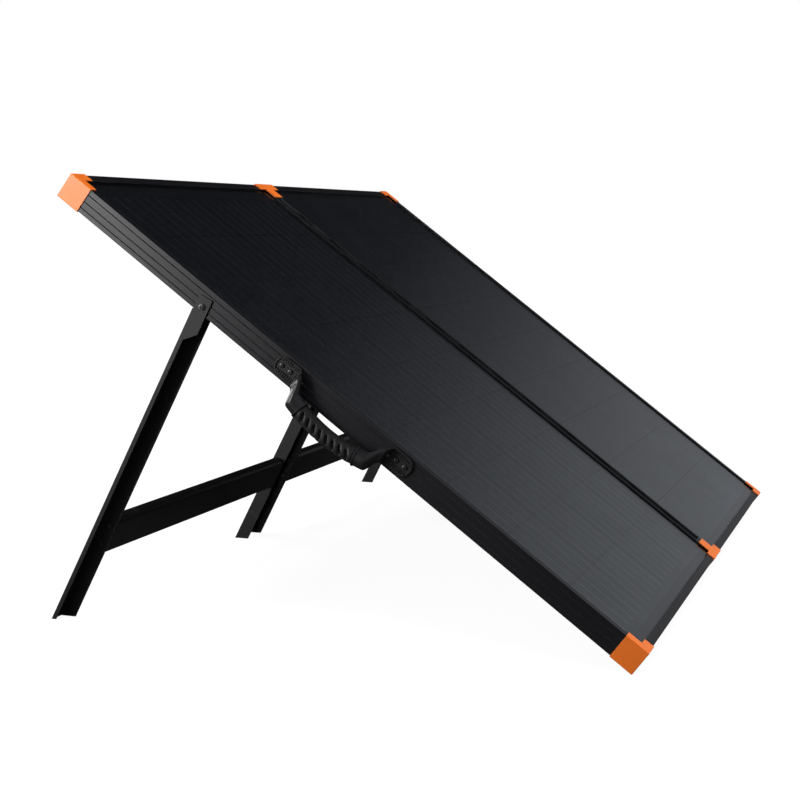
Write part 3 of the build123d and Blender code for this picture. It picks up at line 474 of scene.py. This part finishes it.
ARM_HALF_HEIGHT = 0.0125
ARM_HALF_THICKNESS = 0.0078
ARM_SQUARENESS = 0.62
HANDLE_BEND = (COLLAR_REACH**2 + (GRIP_DROP - COLLAR_DROP) ** 2) / (2 * (GRIP_DROP - COLLAR_DROP))


def add_loft(mesh_data, rings):
    """A closed skin through rings of equally many points, capped at both ends."""
    made = [[mesh_data.verts.new(point) for point in ring] for ring in rings]
    for before, after in zip(made, made[1:]):
        for index in range(len(before)):
            next_index = (index + 1) % len(before)
            quad = (before[index], before[next_index], after[next_index], after[index])
            mesh_data.faces.new(quad)
    mesh_data.faces.new(made[0][::-1])
    mesh_data.faces.new(made[-1])


def smooth_step(value):
    value = min(max(value, 0.0), 1.0)
    return value * value * (3 - 2 * value)


def grip_line(along):
    """Drop below the pivots and slope of the handle's arched line at a place along it."""
    height = math.sqrt(HANDLE_BEND**2 - along**2)
    return GRIP_DROP - HANDLE_BEND + height, along / height


def grip_ring(along, radius_at):
    """A section square to the arched line; its radius may change round it."""
    drop, slope = grip_line(along)
    middle = Vector((SIDE_FACE - GRIP_OUT, along, HANDLE_PIVOT.z - drop))
    upward = Vector((0, -slope, 1)).normalized()
    points = []
    for index in range(ROUND_STEPS):
        angle = 2 * math.pi * index / ROUND_STEPS
        around = -ACROSS * math.cos(angle) + upward * math.sin(angle)
        signed = angle if angle < math.pi else angle - 2 * math.pi
        points.append(middle + around * radius_at(signed))
    return points


def notch_depth(along, angle):
    """How deep the slanted oval finger notches are at a place on the grip's skin."""
    arc = angle * GRIP_RADIUS
    deepest = 0.0
    for place in grid_places(GRIP_NOTCHES, GRIP_NOTCH_PITCH):
        x = (along - place + GRIP_NOTCH_SLANT * arc) / (GRIP_NOTCH_SIZE[0] / 2)
        y = arc / (GRIP_NOTCH_SIZE[1] / 2)
        deepest = max(deepest, smooth_step((NOTCH_EDGE[0] - math.hypot(x, y)) / NOTCH_EDGE[1]))
    return deepest * GRIP_NOTCH_DEPTH


def ridge_height(along, angle):
    """Raised rims between the notches, fading out towards the back of the grip."""
    turns = (along + GRIP_NOTCH_SLANT * angle * GRIP_RADIUS) / GRIP_NOTCH_PITCH
    wave = 0.5 + 0.5 * math.cos(2 * math.pi * turns)
    return GRIP_RIDGE * wave * smooth_step((RIDGE_SPREAD[0] - abs(angle)) / RIDGE_SPREAD[1])


grip = bmesh.new()
rings = []
for step in range(GRIP_STEPS + 1):
    along = GRIP_REACH * (2 * step / GRIP_STEPS - 1)
    ends = smooth_step((GRIP_REACH - abs(along)) / GRIP_END_ROUND[0])
    rings.append(
        grip_ring(
            along,
            lambda angle: GRIP_RADIUS
            - GRIP_END_ROUND[1] * (1 - ends)
            + ridge_height(along, angle)
            - notch_depth(along, angle),
        )
    )
add_loft(grip, rings)
grip = finish_piece("ribbed_grip", grip, "handle", PAINTS["grip_rubber"], 40)
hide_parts("handle_grip")

arms = bmesh.new()
for sign in (1, -1):
    rings = []
    for step in range(ARM_STEPS + 1):
        share = step / ARM_STEPS
        along = sign * (ARM_START + (ARM_END - ARM_START) * share)
        ease = smooth_step(share)
        drop, slope = grip_line(min(abs(along), COLLAR_REACH))
        out = PIVOT_OUT + (GRIP_OUT - PIVOT_OUT) * ease
        middle_drop = ARM_DROP + (drop - ARM_DROP) * ease
        half_high = ARM_HALF_HEIGHT + (COLLAR_RADIUS - ARM_HALF_HEIGHT) * ease
        half_thick = ARM_HALF_THICKNESS + (COLLAR_RADIUS - ARM_HALF_THICKNESS) * ease
        power = ARM_SQUARENESS + (1 - ARM_SQUARENESS) * ease
        middle = Vector((SIDE_FACE - out, along, HANDLE_PIVOT.z - middle_drop))
        upward = Vector((0, -sign * slope * ease, 1)).normalized()
        ring = []
        for index in range(ROUND_STEPS):
            angle = 2 * math.pi * index / ROUND_STEPS
            cosine, sine = math.cos(angle), math.sin(angle)
            wide = math.copysign(abs(cosine) ** power, cosine) * half_thick
            high = math.copysign(abs(sine) ** power, sine) * half_high
            ring.append(middle - ACROSS * wide + upward * high)
        rings.append(ring)
    collar_profile = (
        (COLLAR_REACH - 0.008, 0.0),
        (GRIP_REACH + 0.006, -0.0003),
        (GRIP_REACH + 0.0028, -0.0003),
        (GRIP_REACH + 0.0024, COLLAR_LIP),
        (GRIP_REACH + 0.0006, COLLAR_LIP),
        (GRIP_REACH, 0.0),
        (GRIP_REACH, -0.0035),
    )
    for along, extra in collar_profile:
        radius = COLLAR_RADIUS + extra
        rings.append(grip_ring(sign * along, lambda angle: radius))
    add_loft(arms, rings)
arms = finish_piece("handle_arms", arms, "handle", PAINTS["handle_plastic"], 35)
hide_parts("handle_bail")

PLATE_INNER_END = 0.084
PLATE_OUTER_END = 0.119
PLATE_HALF_HEIGHT = 0.0138
PLATE_CORNER = 0.0013
PLATE_STEPS = 14
PLATE_PROFILE = (
    (0.0, 0.0),
    (0.0, 0.0034),
    (0.0007, 0.0043),
    (0.0017, 0.0043),
    (0.0022, 0.0020),
)
RIB_COUNT = 8
RIB_PITCH = 0.0034
RIB_SIZE = (0.0016, 0.0052)
RIB_TOP = 0.0040
RIB_FOOT = 0.001
RIB_SHIFT = 0.0015
RIB_INSET = 0.0047
LUG_END = 0.078
LUG_STEPS = 6
LUG_START = PLATE_INNER_END + 0.0008
LUG_ROOT = 0.0036
LUG_TIP = 2 * PIVOT_OUT - 0.0022
LUG_HALF_HEIGHT = PLATE_HALF_HEIGHT - 0.0003
LUG_TAPER = 0.0010
LUG_DROP = 0.002
LUG_SQUARENESS = (0.28, 0.3)
SCREW_SPACING = 0.0145
SCREW_STEPS = 36
SCREW_PROFILE = (
    (0.0034, 0.0),
    (0.0034, 0.0015),
    (0.0030, 0.0022),
    (0.0023, 0.0026),
)
SOCKET_RADIUS = 0.0014
SOCKET_DEPTH = 0.0011
SCREW_SEAT = PLATE_PROFILE[-1][1] - 0.0002


def plate_outline(sign, inset, out):
    """A D-shaped section of a handle plate: square towards the handle, round away from it."""
    half = PLATE_HALF_HEIGHT - inset
    bend = half - PLATE_CORNER * 0.5
    inner = PLATE_INNER_END + inset
    centre = PLATE_OUTER_END - inset - bend
    points = [(inner, half), (inner, -half)]
    for start, middle in ((-90, -(half - bend)), (0, half - bend)):
        for step in range(PLATE_STEPS + 1):
            angle = math.radians(start + 90 * step / PLATE_STEPS)
            points.append((centre + bend * math.cos(angle), middle + bend * math.sin(angle)))
    return [Vector((SIDE_FACE - out, sign * y, HANDLE_PIVOT.z + z)) for y, z in points]


def add_block(mesh_data, low, high):
    """A box between two corners."""
    outline = [(low.x, low.y), (high.x, low.y), (high.x, high.y), (low.x, high.y)]
    add_prism(mesh_data, outline, low.z, high.z)


for name, sign in (("upper", 1), ("lower", -1)):
    plate = bmesh.new()
    add_loft(plate, [plate_outline(sign, inset, out) for inset, out in PLATE_PROFILE])
    plate_middle = sign * (PLATE_INNER_END + PLATE_OUTER_END) / 2
    for along in grid_places(RIB_COUNT, RIB_PITCH):
        y = plate_middle - sign * RIB_SHIFT + along
        for row in (1, -1):
            z = HANDLE_PIVOT.z + row * (PLATE_HALF_HEIGHT - RIB_INSET)
            low = Vector((SIDE_FACE - RIB_TOP, y - RIB_SIZE[0] / 2, z - RIB_SIZE[1] / 2))
            high = Vector((SIDE_FACE - RIB_FOOT, y + RIB_SIZE[0] / 2, z + RIB_SIZE[1] / 2))
            add_block(plate, low, high)
    rings = []
    for step in range(LUG_STEPS + 1):
        share = step / LUG_STEPS
        along = sign * (LUG_START + (LUG_END - LUG_START) * share)
        ease = smooth_step(share)
        thick = LUG_ROOT + (LUG_TIP - LUG_ROOT) * ease
        high = LUG_HALF_HEIGHT - LUG_TAPER * ease
        drop = LUG_DROP * ease
        power = LUG_SQUARENESS[0] + LUG_SQUARENESS[1] * ease
        ring = []
        for index in range(ROUND_STEPS):
            angle = 2 * math.pi * index / ROUND_STEPS
            cosine, sine = math.cos(angle), math.sin(angle)
            wide = math.copysign(abs(cosine) ** power, cosine) * thick / 2
            tall = math.copysign(abs(sine) ** power, sine) * high
            ring.append(Vector((SIDE_FACE - thick / 2 - wide, along, HANDLE_PIVOT.z - drop + tall)))
        rings.append(ring)
    add_loft(plate, rings)
    plate_name = f"{name}_handle_plate"
    plate = finish_piece(plate_name, plate, "near_panel", PAINTS["handle_plastic"], 35)
    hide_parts(f"handle_{name}_bracket")


def socket_radius(angle):
    """Distance from a hexagon's middle to its side."""
    turn = angle % (math.pi / 3) - math.pi / 6
    return SOCKET_RADIUS / math.cos(turn)


def add_button_head(mesh_data, seat, side, profile):
    """A round screw head with a hexagon socket, standing out of a side face."""
    top = profile[-1][1]
    sections = [(lambda angle, radius=radius: radius, rise) for radius, rise in profile]
    sections += [(socket_radius, top), (socket_radius, top - SOCKET_DEPTH)]
    rings = []
    for radius_at, rise in sections:
        ring = []
        for index in range(SCREW_STEPS):
            angle = 2 * math.pi * index / SCREW_STEPS
            radius = radius_at(angle)
            offset = Vector((side * rise, radius * math.cos(angle), radius * math.sin(angle)))
            ring.append(seat + offset)
        rings.append(ring)
    add_loft(mesh_data, rings)


screws = bmesh.new()
for sign in (1, -1):
    for along in grid_places(2, SCREW_SPACING):
        y = sign * (PLATE_INNER_END + PLATE_OUTER_END) / 2 + along
        seat = Vector((SIDE_FACE - SCREW_SEAT, y, HANDLE_PIVOT.z))
        add_button_head(screws, seat, -1, SCREW_PROFILE)
steel = PAINTS["steel_fastener"]
screws = finish_piece("handle_screw_heads", screws, "near_panel", steel, 30)
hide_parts("handle_bracket_screws")

# ------------------------------------------------------------------ leg pivot heads
PIVOT_HEAD_PROFILE = ((0.0040, 0.0), (0.0039, 0.0006), (0.0034, 0.0012), (0.0026, 0.0014))

for panel, side in PANELS:
    low, high = deck_box(f"{panel}_pivot_rivets")
    pivot = TO_DECK @ Vector(joints[f"{panel}_stand_fold"]["pos_m"])
    head_face = high.x if side > 0 else low.x
    head = bmesh.new()
    add_button_head(head, Vector((head_face, pivot.y, pivot.z)), side, PIVOT_HEAD_PROFILE)
    head_name = f"{panel}_pivot_button_head"
    finish_piece(head_name, head, f"{panel}_panel", steel, 30)


# ------------------------------------------------------------------ camera
CAMERA_FROM_DECK = Vector((-2.7385, -0.7499, 0.2585))
CAMERA_YAW = math.radians(16.12)
CAMERA_PITCH = math.radians(8.0)
CAMERA_ROLL = math.radians(1.16)
CAMERA_LENS = 74.36
CAMERA_SHIFT = (-0.0744, 0.0569)


def add_camera():
    forward = Vector(
        (
            math.cos(CAMERA_YAW) * math.cos(CAMERA_PITCH),
            math.sin(CAMERA_YAW) * math.cos(CAMERA_PITCH),
            -math.sin(CAMERA_PITCH),
        )
    )
    right = forward.cross(Vector((0, 0, 1))).normalized()
    up = right.cross(forward)
    rolled_right = right * math.cos(CAMERA_ROLL) + up * math.sin(CAMERA_ROLL)
    rolled_up = up * math.cos(CAMERA_ROLL) - right * math.sin(CAMERA_ROLL)
    data = bpy.data.cameras.new("camera")
    data.lens = CAMERA_LENS
    data.shift_x, data.shift_y = CAMERA_SHIFT
    camera = bpy.data.objects.new("camera", data)
    turn = Matrix((rolled_right, rolled_up, -forward)).transposed().to_4x4()
    camera.matrix_world = Matrix.Translation(DECK + CAMERA_FROM_DECK) @ turn
    bpy.context.scene.collection.objects.link(camera)
    bpy.context.scene.camera = camera


# ------------------------------------------------------------------ stage and light
FLOOR_SIZE = 60.0


def add_floor():
    bpy.ops.mesh.primitive_plane_add(size=FLOOR_SIZE)
    floor = bpy.context.object
    floor.name = "studio_floor"
    material = bpy.data.materials.new("studio_floor")
    material.use_nodes = True
    tree = material.node_tree
    tree.nodes.remove(tree.nodes["Principled BSDF"])
    seen = tree.nodes.new("ShaderNodeAddShader")
    glow = tree.nodes.new("ShaderNodeEmission")
    glow.inputs["Strength"].default_value = 0.93
    lit = tree.nodes.new("ShaderNodeBsdfDiffuse")
    lit.inputs["Color"].default_value = (0.13, 0.13, 0.13, 1)
    bounce = tree.nodes.new("ShaderNodeBsdfDiffuse")
    bounce.inputs["Color"].default_value = (0.07, 0.07, 0.07, 1)
    path = tree.nodes.new("ShaderNodeLightPath")
    mix = tree.nodes.new("ShaderNodeMixShader")
    tree.links.new(glow.outputs["Emission"], seen.inputs[0])
    tree.links.new(lit.outputs["BSDF"], seen.inputs[1])
    tree.links.new(path.outputs["Is Camera Ray"], mix.inputs["Fac"])
    tree.links.new(bounce.outputs["BSDF"], mix.inputs[1])
    tree.links.new(seen.outputs["Shader"], mix.inputs[2])
    tree.links.new(mix.outputs["Shader"], tree.nodes["Material Output"].inputs["Surface"])
    floor.data.materials.append(material)


def add_world():
    """A dark studio with a broad low glow from the low edge's side, on a white background."""
    world = bpy.data.worlds.new("studio")
    bpy.context.scene.world = world
    world.use_nodes = True
    tree = world.node_tree
    background = tree.nodes["Background"]
    coordinates = tree.nodes.new("ShaderNodeTexCoord")
    facing = tree.nodes.new("ShaderNodeVectorMath")
    facing.operation = "DOT_PRODUCT"
    facing.inputs[1].default_value = Vector((0, -0.83, -0.55)).normalized()
    ramp = tree.nodes.new("ShaderNodeValToRGB")
    stops = (
        (0.0, 0.004),
        (0.34, 0.004),
        (0.385, 0.014),
        (0.42, 0.07),
        (0.475, 0.22),
        (0.53, 0.32),
        (1.0, 0.37),
    )
    shift = tree.nodes.new("ShaderNodeMapRange")
    shift.inputs["From Min"].default_value = -1
    shift.inputs["From Max"].default_value = 1
    for index, (position, level) in enumerate(stops):
        element = ramp.color_ramp.elements[index] if index < 2 else ramp.color_ramp.elements.new(1)
        element.position = position
        element.color = (level, level * 1.01, level * 1.05, 1)
    white = tree.nodes.new("ShaderNodeBackground")
    white.inputs["Color"].default_value = (1, 1, 1, 1)
    path = tree.nodes.new("ShaderNodeLightPath")
    mix = tree.nodes.new("ShaderNodeMixShader")
    tree.links.new(coordinates.outputs["Generated"], facing.inputs[0])
    tree.links.new(facing.outputs["Value"], shift.inputs["Value"])
    tree.links.new(shift.outputs["Result"], ramp.inputs["Fac"])
    tree.links.new(ramp.outputs["Color"], background.inputs["Color"])
    tree.links.new(path.outputs["Is Camera Ray"], mix.inputs["Fac"])
    tree.links.new(background.outputs["Background"], mix.inputs[1])
    tree.links.new(white.outputs["Background"], mix.inputs[2])
    tree.links.new(mix.outputs["Shader"], tree.nodes["World Output"].inputs["Surface"])


def add_light(name, kind, place, target, power, size=1.0, in_gloss=True):
    data = bpy.data.lights.new(name, kind)
    data.energy = power
    if kind == "SUN":
        data.angle = math.radians(size)
    else:
        data.shape = "RECTANGLE"
        data.size, data.size_y = size
    lamp = bpy.data.objects.new(name, data)
    lamp.location = place
    lamp.rotation_euler = (Vector(target) - Vector(place)).to_track_quat("-Z", "Y").to_euler()
    lamp.visible_glossy = in_gloss
    lamp.visible_camera = False
    bpy.context.scene.collection.objects.link(lamp)


def add_lights():
    add_light("overhead", "SUN", (-0.4, -0.5, 3), (0, 0, 0), 3.2, 70.0, in_gloss=False)
    near_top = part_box("near_top_corner_caps")[0]
    add_light(
        "side_softbox",
        "AREA",
        (near_top.x - 1.1, near_top.y + 0.9, near_top.z + 0.35),
        (near_top.x, near_top.y - 0.1, near_top.z - 0.1),
        30,
        (0.9, 1.2),
    )
    add_light("back_softbox", "AREA", (0.4, 2.6, 1.2), (0, 0.2, 0.3), 40, (2.4, 1.2))


add_camera()
add_floor()
add_world()
add_lights()
bpy.context.scene.view_settings.view_transform = "Standard"
